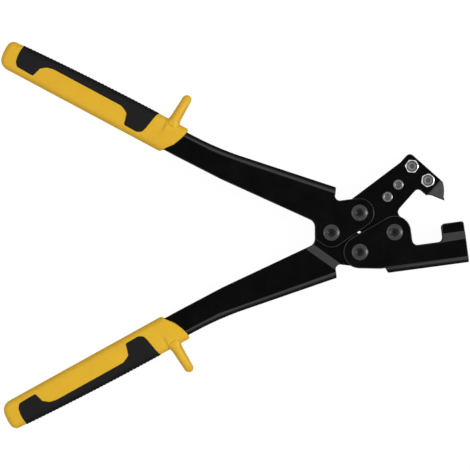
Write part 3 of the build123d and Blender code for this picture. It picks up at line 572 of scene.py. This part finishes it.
fill_inputs(tooth_steel, tooth_shader, {
    "Base Color": tooth_tone.outputs["Color"], "Metallic": 0.25,
    "Roughness": tooth_rough.outputs["Result"], "Normal": tooth_bump.outputs["Normal"]})
nodes["punch_blade"].data.materials.clear()
nodes["punch_blade"].data.materials.append(tooth_steel)
soften(nodes["punch_blade"], TOOTH_SOFTNESS)

# ---------------------------------------------------------------- grip shells
# Each grip is one sleeve of polypropylene, injection-moulded in signal yellow and pushed over the handle's
# end. The mould's walls were spark-eroded, which leaves it satin. Its front end is cut on a slant, with a
# rounded lip round a deep mouth.

SIDES = {"upper": 1, "lower": -1}
HANDLE_ANGLE = radians(27.5)  # of each handle's line against the middle line
GRIP_FRONT = 138.0 * MM  # along the handle from its pivot
GRIP_END = 296.2 * MM
GRIP_LENGTH = GRIP_END - GRIP_FRONT
BACK_LINE = (21.4 * MM, 4.2 * MM, -5.2 * MM)  # height of the back at the front, its rise, and its bow
BELLY_FRONT = -4.6 * MM
BELLY_RISE = 2.9 * MM
HALF_HEIGHT = 9.95 * MM
BACK_CORNER = 5.2 * MM
BELLY_CORNER = 8.0 * MM
FACE_CORNER = 4.8 * MM
CROWN = 0.6 * MM
CROWN_STEPS = (0.93, 0.8, 0.6, 0.4, 0.2)  # shares of the end's outline
SECTION_POWER = 3.6
FRONT_SLANT = 12.2 * MM
SLANT_POWER = 1.9
FRONT_SECTION = GRIP_FRONT + 5 * MM  # the section whose heights the slanted front is worked out from
LIP_RADIUS = 1.2 * MM
LIP_ROWS = 7
MOUTH_BACK = 18.3 * MM
MOUTH_BELLY = -1.7 * MM
MOUTH_MIDDLE = (MOUTH_BACK + MOUTH_BELLY) / 2
MOUTH_HALF = 7.7 * MM
MOUTH_POWER = 5.0
MOUTH_DEPTH = 20.0 * MM
MOUTH_STEPS = (MOUTH_DEPTH, MOUTH_DEPTH / 2, 2 * MM, 0.3 * MM, 0 * MM)  # depths of the mouth's rows
FACE_PARTS = (0.4, 0.8)  # rows on the front face, from the mouth out to the lip
BODY_ROWS = 200
BODY_CROWDING = 1.5  # power that crowds the body's rows towards the front
END_ROWS = 16
ROOT_PLACE = 155.2 * MM  # where the guard's root runs on over the sides as a fold
ROOT_FOLD = ((-8, 0), (-4, 0.2), (-1, 0.5), (0, 0.35), (0.8, -0.5), (2, -0.75), (5, -0.35),
             (9, 0))  # place along the handle and height, mm
FOLD_FOOT = 5 * MM  # height out from the handle where the fold begins
FOLD_GROWTH = 9 * MM  # and over which it grows
GRIP_COLUMNS = 128
SPARK_PITCH = 0.5 * MM
SPARK_DEPTH = 0.06 * MM
FLOW_PITCH = 22 * MM
YELLOW_SCATTER = 0.5 * MM


def in_handle(side, u, v, w):
    """Points u along a handle, v out towards its back and w up, turned by the handle's angle about its pivot;
    side is 1 for the upper handle and -1 for the lower, its mirror image."""
    x = PIVOT["handle_pivot"][0] - u * cos(HANDLE_ANGLE) + v * sin(HANDLE_ANGLE)
    y = side * (u * sin(HANDLE_ANGLE) + v * cos(HANDLE_ANGLE))
    return np.stack([x, y + 0 * x, PIVOT["handle_pivot"][2] + w + 0 * x], -1)


def signed_power(value, power):
    """The value's size to a power, with its sign kept."""
    return np.sign(value) * np.abs(value) ** power


def grip_lines(u):
    """Back line, belly line and half height at u: a bowed back and a straight belly, each drawn in along a
    quarter circle towards the end."""
    along = (u - GRIP_FRONT) / GRIP_LENGTH
    back = BACK_LINE[0] + BACK_LINE[1] * along + BACK_LINE[2] * along ** 2
    belly = BELLY_FRONT + BELLY_RISE * along

    def drawn_in(radius):
        reach = np.clip((u - GRIP_END + CROWN + radius) / radius, 0, 1)
        return radius * (1 - np.sqrt(1 - reach ** 2))

    return back - drawn_in(BACK_CORNER), belly + drawn_in(BELLY_CORNER), HALF_HEIGHT - drawn_in(FACE_CORNER)


def grip_section(u, angle, inset=0.0, shrink=1.0):
    """Height out from the handle's line and height up of the section at u: a superellipse about the middle of
    back and belly, moved in by inset and scaled by shrink. Its sides carry the guard's fold, which grows in
    evenly over the height out from the handle."""
    back, belly, height = grip_lines(u)
    across = signed_power(np.cos(angle), 2 / SECTION_POWER)
    v = (back + belly) / 2 + shrink * ((back - belly) / 2 - inset) * across
    fold = np.interp((u - ROOT_PLACE) / MM, *np.array(ROOT_FOLD).T) * MM
    fold = fold * np.clip((v - FOLD_FOOT) / FOLD_GROWTH, 0, 1)
    w = shrink * (height - inset + fold) * signed_power(np.sin(angle), 2 / SECTION_POWER)
    return v, w


def grip_front(v):
    """Where the slanted front end stands at a height v: forward at the back, and further back with a power of
    the distance below it."""
    below = np.clip((BACK_LINE[0] - v) / (BACK_LINE[0] - BELLY_FRONT), 0, None)
    return GRIP_FRONT + FRONT_SLANT * below ** SLANT_POWER


def grip_shell(name, side):
    """The whole sleeve as one closed surface: from a pole inside its mouth along the mouth's walls, over the
    front face and a quarter-round lip, along the body, round the end's corners and over its crown to a
    pole."""
    angle = np.linspace(0, 2 * pi, GRIP_COLUMNS, endpoint=False)
    front = grip_front(grip_section(np.full_like(angle, FRONT_SECTION), angle)[0])
    mouth_v = MOUTH_MIDDLE + (MOUTH_BACK - MOUTH_BELLY) / 2 * signed_power(np.cos(angle), 2 / MOUTH_POWER)
    mouth_w = MOUTH_HALF * signed_power(np.sin(angle), 2 / MOUTH_POWER)
    rows = [(front + depth, mouth_v, mouth_w) for depth in MOUTH_STEPS]
    face_v, face_w = grip_section(front + LIP_RADIUS, angle, LIP_RADIUS)
    for part in FACE_PARTS:
        rows.append((front, mouth_v + (face_v - mouth_v) * part, mouth_w + (face_w - mouth_w) * part))
    for bend in np.radians(np.linspace(90, 0, LIP_ROWS)):
        u = front + LIP_RADIUS * (1 - sin(bend))
        rows.append((u, *grip_section(u, angle, LIP_RADIUS * (1 - cos(bend)))))
    cap_start = GRIP_END - CROWN - BELLY_CORNER
    for part in np.linspace(0, 1, BODY_ROWS)[1:] ** BODY_CROWDING:
        u = (front + LIP_RADIUS) * (1 - part) + cap_start * part
        rows.append((u, *grip_section(u, angle)))
    for bend in np.radians(np.linspace(0, 90, END_ROWS)[1:]):
        u = np.full_like(angle, cap_start + BELLY_CORNER * sin(bend))
        rows.append((u, *grip_section(u, angle)))
    for shrink in CROWN_STEPS:
        u = np.full_like(angle, GRIP_END - CROWN)
        rows.append((u + CROWN * (1 - shrink ** 2), *grip_section(u, angle, shrink=shrink)))
    rings = np.stack([in_handle(side, *row) for row in rows])
    end_back, end_belly, _ = grip_lines(np.array(GRIP_END - CROWN))
    poles = np.stack([in_handle(side, front.mean() + MOUTH_DEPTH, MOUTH_MIDDLE, 0.0),
                      in_handle(side, GRIP_END, (end_back + end_belly) / 2, 0.0)])
    return ring_object(name, rings, poles)


yellow, yellow_shader = new_material("moulded_yellow_polypropylene")
yellow_place = add_node(yellow, "ShaderNodeTexCoord")
yellow_spark = add_node(yellow, "ShaderNodeTexNoise", {
    "Vector": yellow_place.outputs["Object"], "Scale": 1 / SPARK_PITCH, "Detail": 3.0})
yellow_flow = add_node(yellow, "ShaderNodeTexNoise", {
    "Vector": yellow_place.outputs["Object"], "Scale": 1 / FLOW_PITCH, "Detail": 3.0})
yellow_tone = add_node(yellow, "ShaderNodeValToRGB", {"Fac": yellow_flow.outputs["Fac"]})
set_ramp(yellow_tone, (0.3, "#d5a504"), (0.7, "#dcac0a"))
yellow_rough = add_node(yellow, "ShaderNodeMapRange", {
    "Value": yellow_spark.outputs["Fac"], "From Min": 0.3, "From Max": 0.7, "To Min": 0.42, "To Max": 0.55})
yellow_bump = add_node(yellow, "ShaderNodeBump", {
    "Height": yellow_spark.outputs["Fac"], "Strength": 0.25, "Distance": SPARK_DEPTH})
fill_inputs(yellow, yellow_shader, {
    "Base Color": yellow_tone.outputs["Color"], "Roughness": yellow_rough.outputs["Result"], "IOR": 1.49,
    "Normal": yellow_bump.outputs["Normal"], "Subsurface Weight": 0.03, "Subsurface Scale": YELLOW_SCATTER})

for which, side in SIDES.items():
    shell = grip_shell(which + "_grip_sleeve", side)
    finish_piece(shell, which + "_handle", [which + "_grip_shell"], yellow)

# ---------------------------------------------------------------- finger guards
# A tongue stands out from each grip's back, moulded in one with it, and stops the hand from sliding on to the
# bare handle. It is thickest at its root, where it spreads into the sleeve, and half round at its tip.

GUARD_ROOT = 17.5 * MM
GUARD_TIP = 45.4 * MM
GUARD_HALF_WIDTH = 9.9 * MM
GUARD_LINE = (151.3 * MM, 149.6 * MM)  # the tongue's middle at its root and at its tip
GUARD_HALF_THICK = (4.5 * MM, 3.5 * MM)
GUARD_FLARE = 1.0 * MM
GUARD_FLARE_REACH = 1.3 * MM
GUARD_FLARE_BELOW = 1.0 * MM  # how far under the sleeve's back the flare still grows
GUARD_POWER = 2.5
GUARD_COLUMNS = 72
GUARD_ROWS = 60


def finger_guard(name, side):
    """A tongue as one closed surface: superellipses in the plane across it, whose half width is a quarter
    ellipse over the tongue's height, and whose half thickness tapers, flares at the root and closes in a
    circle at the tip."""
    angle = np.linspace(0, 2 * pi, GUARD_COLUMNS, endpoint=False)
    rise = np.sin(np.linspace(0, pi / 2, GUARD_ROWS)[:-1])[:, None]
    height = GUARD_ROOT + (GUARD_TIP - GUARD_ROOT) * rise
    part = (height - GUARD_ROOT) / (GUARD_TIP - GUARD_ROOT)
    width = GUARD_HALF_WIDTH * np.sqrt(1 - part ** 2)
    over_back = np.maximum(height - BACK_LINE[0], -GUARD_FLARE_BELOW)
    thick = GUARD_HALF_THICK[0] + (GUARD_HALF_THICK[1] - GUARD_HALF_THICK[0]) * part
    rounding = np.clip((height - GUARD_TIP + GUARD_HALF_THICK[1]) / GUARD_HALF_THICK[1], 0, 1)
    thick = thick * np.sqrt(1 - rounding ** 2) + GUARD_FLARE * np.exp(-over_back / GUARD_FLARE_REACH)
    middle = GUARD_LINE[0] + (GUARD_LINE[1] - GUARD_LINE[0]) * part
    u = middle + thick * signed_power(np.cos(angle), 2 / GUARD_POWER)
    w = width * signed_power(np.sin(angle), 2 / GUARD_POWER)
    rings = in_handle(side, u, height + 0 * u, w)
    poles = np.stack([in_handle(side, GUARD_LINE[0], GUARD_ROOT, 0.0),
                      in_handle(side, GUARD_LINE[1], GUARD_TIP, 0.0)])
    return ring_object(name, rings, poles)


for which, side in SIDES.items():
    guard = finger_guard(which + "_finger_guard", side)
    finish_piece(guard, which + "_handle", [which + "_grip_shell"], yellow)

# ---------------------------------------------------------------- soft inlays
# A black thermoplastic rubber is moulded over each sleeve's back, from face to face, with a tongue along the
# grip and a thumb rest at its front end. It stands slightly proud and has small cross ribs along its back.

INLAY_LINE = ((283.6, 20.9), (284.4, 17.0), (284.5, 12.0), (283.9, 7.0), (281.2, 3.2), (265.9, 2.5),
              (265.4, 5.0), (263.5, 9.7), (259.5, 13.4), (254.0, 14.5), (193.0, 13.2), (188.4, 10.5),
              (186.2, 6.7), (185.1, 0.9), (173.0, 0.4), (169.2, 2.5), (167.6, 7.0), (166.5, 13.0),
              (165.3, 18.5), (164.2, 22.2))  # mm in the handle's frame
INLAY_STEP = 0.4 * MM
INLAY_EASE = 1.1 * MM  # how far its corners are eased
INLAY_ENDS = slice(2, -2)  # leaves out the first and last two steps, where it closes on the back line
INLAY_LEAN = 0.12  # how much a step up the sleeve counts against one along it, in the back line's pace
INLAY_COLUMNS = 73
INLAY_PROUD = 0.45 * MM
INLAY_SUNK = 0.8 * MM
INLAY_UNDER = 0.2 * MM  # of its underside below that
INLAY_ROLL = 0.8 * MM
RIB_PITCH = 3.0 * MM
RIB_DEPTH = 0.3 * MM
RIB_SIDE = (0.35, 0.4)  # cosine round the section where the grooves begin, and over which they grow
RIB_MARGIN = 1.2  # mm from the outline to the grooves
RUBBER_GRAIN = 0.8 * MM
RUBBER_DEPTH = 0.08 * MM
RUBBER_CLOUD = 12 * MM


def eased(line):
    """A line of places resampled at even steps and averaged with a bell curve, cut off at three times its
    width, which rounds its corners and keeps its ends."""
    walked = np.concatenate([[0], np.cumsum(np.hypot(*np.diff(line, axis=0).T))])
    steps = np.linspace(0, walked[-1], int(walked[-1] / INLAY_STEP))
    even = np.stack([np.interp(steps, walked, line[:, axis]) for axis in (0, 1)], -1)
    reach = int(3 * INLAY_EASE / INLAY_STEP)
    bell = np.exp(-0.5 * (np.arange(-reach, reach + 1) * INLAY_STEP / INLAY_EASE) ** 2)
    before = 2 * even[0] - even[reach:0:-1]
    after = 2 * even[-1] - even[-2:-reach - 2:-1]
    padded = np.vstack([before, even, after])
    return np.stack([np.convolve(padded[:, axis], bell / bell.sum(), "valid") for axis in (0, 1)], -1)


def over_shell(side, u, angle, lift):
    """Points on the sleeve's section at u and angle, moved out by lift along the superellipse's own slope."""
    back, belly, height = grip_lines(u)
    v, w = grip_section(u, angle)
    reach = (back - belly) / 2
    out_v = signed_power((v - (back + belly) / 2) / reach, SECTION_POWER - 1) / reach
    out_w = signed_power(w / height, SECTION_POWER - 1) / height
    size = np.hypot(out_v, out_w)
    return in_handle(side, u, v + lift * out_v / size, w + lift * out_w / size)


def soft_inlay(name, side):
    """A closed skin spread between the outline on the upper face and its mirror image on the lower one, both
    joined to the same place on the back line. Its lift falls off in a quarter round within a roll of the
    outline, and narrow grooves cross its back at even steps."""
    u_edge, v_edge = eased(np.array(INLAY_LINE) * MM).T
    back, belly, _ = grip_lines(u_edge)
    level = np.clip((v_edge - (back + belly) / 2) / ((back - belly) / 2), -1, 1)
    angle_edge = np.arccos(signed_power(level, SECTION_POWER / 2))
    pace = np.abs(np.diff(u_edge)) + INLAY_LEAN * np.abs(np.diff(v_edge)) + 1e-6
    walked = np.concatenate([[0], np.cumsum(pace)]) / pace.sum()
    u_back = u_edge[0] + (u_edge[-1] - u_edge[0]) * walked
    across = np.linspace(-1, 1, INLAY_COLUMNS)
    u = u_back[INLAY_ENDS, None] + (u_edge - u_back)[INLAY_ENDS, None] * np.abs(across)
    angle = angle_edge[INLAY_ENDS, None] * across
    surface = over_shell(side, u, angle, 0.0)
    border = np.concatenate([surface[:, 0], surface[:, -1]])
    flat = surface.reshape(-1, 3)
    gap = (flat ** 2).sum(1)[:, None] + (border ** 2).sum(1) - 2 * flat @ border.T
    from_border = np.sqrt(np.maximum(gap.min(1), 0)).reshape(u.shape)
    roll = 1 - np.clip(from_border / INLAY_ROLL, 0, 1)
    rib = (0.5 + 0.5 * np.cos(2 * pi * u / RIB_PITCH)) ** 2
    on_back = np.clip((np.cos(angle) - RIB_SIDE[0]) / RIB_SIDE[1], 0, 1)
    on_back = on_back * np.clip(from_border / MM - RIB_MARGIN, 0, 1)
    lift = INLAY_PROUD - (INLAY_PROUD + INLAY_SUNK) * roll ** 2 - RIB_DEPTH * rib * on_back
    top = over_shell(side, u, angle, lift)
    under = over_shell(side, u, angle, -INLAY_SUNK - INLAY_UNDER)[:, ::-1]
    rings = np.concatenate([top, under], axis=1)
    return ring_object(name, rings, np.stack([rings[0].mean(0), rings[-1].mean(0)]))


rubber, rubber_shader = new_material("black_thermoplastic_rubber")
rubber_place = add_node(rubber, "ShaderNodeTexCoord")
rubber_grain = add_node(rubber, "ShaderNodeTexVoronoi", {
    "Vector": rubber_place.outputs["Object"], "Scale": 1 / RUBBER_GRAIN})
rubber_cloud = add_node(rubber, "ShaderNodeTexNoise", {
    "Vector": rubber_place.outputs["Object"], "Scale": 1 / RUBBER_CLOUD, "Detail": 5.0})
rubber_tone = add_node(rubber, "ShaderNodeValToRGB", {"Fac": rubber_cloud.outputs["Fac"]})
set_ramp(rubber_tone, (0.3, "#070807"), (0.7, "#0c0d0c"))
rubber_rough = add_node(rubber, "ShaderNodeMapRange", {
    "Value": rubber_cloud.outputs["Fac"], "From Min": 0.3, "From Max": 0.7, "To Min": 0.62, "To Max": 0.75})
rubber_bump = add_node(rubber, "ShaderNodeBump", {
    "Height": rubber_grain.outputs["Distance"], "Strength": 0.35, "Distance": RUBBER_DEPTH})
fill_inputs(rubber, rubber_shader, {
    "Base Color": rubber_tone.outputs["Color"], "Roughness": rubber_rough.outputs["Result"],
    "Specular IOR Level": 0.22, "Normal": rubber_bump.outputs["Normal"]})

for which, side in SIDES.items():
    inlay = soft_inlay(which + "_soft_inlay", side)
    finish_piece(inlay, which + "_handle", [which + "_grip_inlay"], rubber)
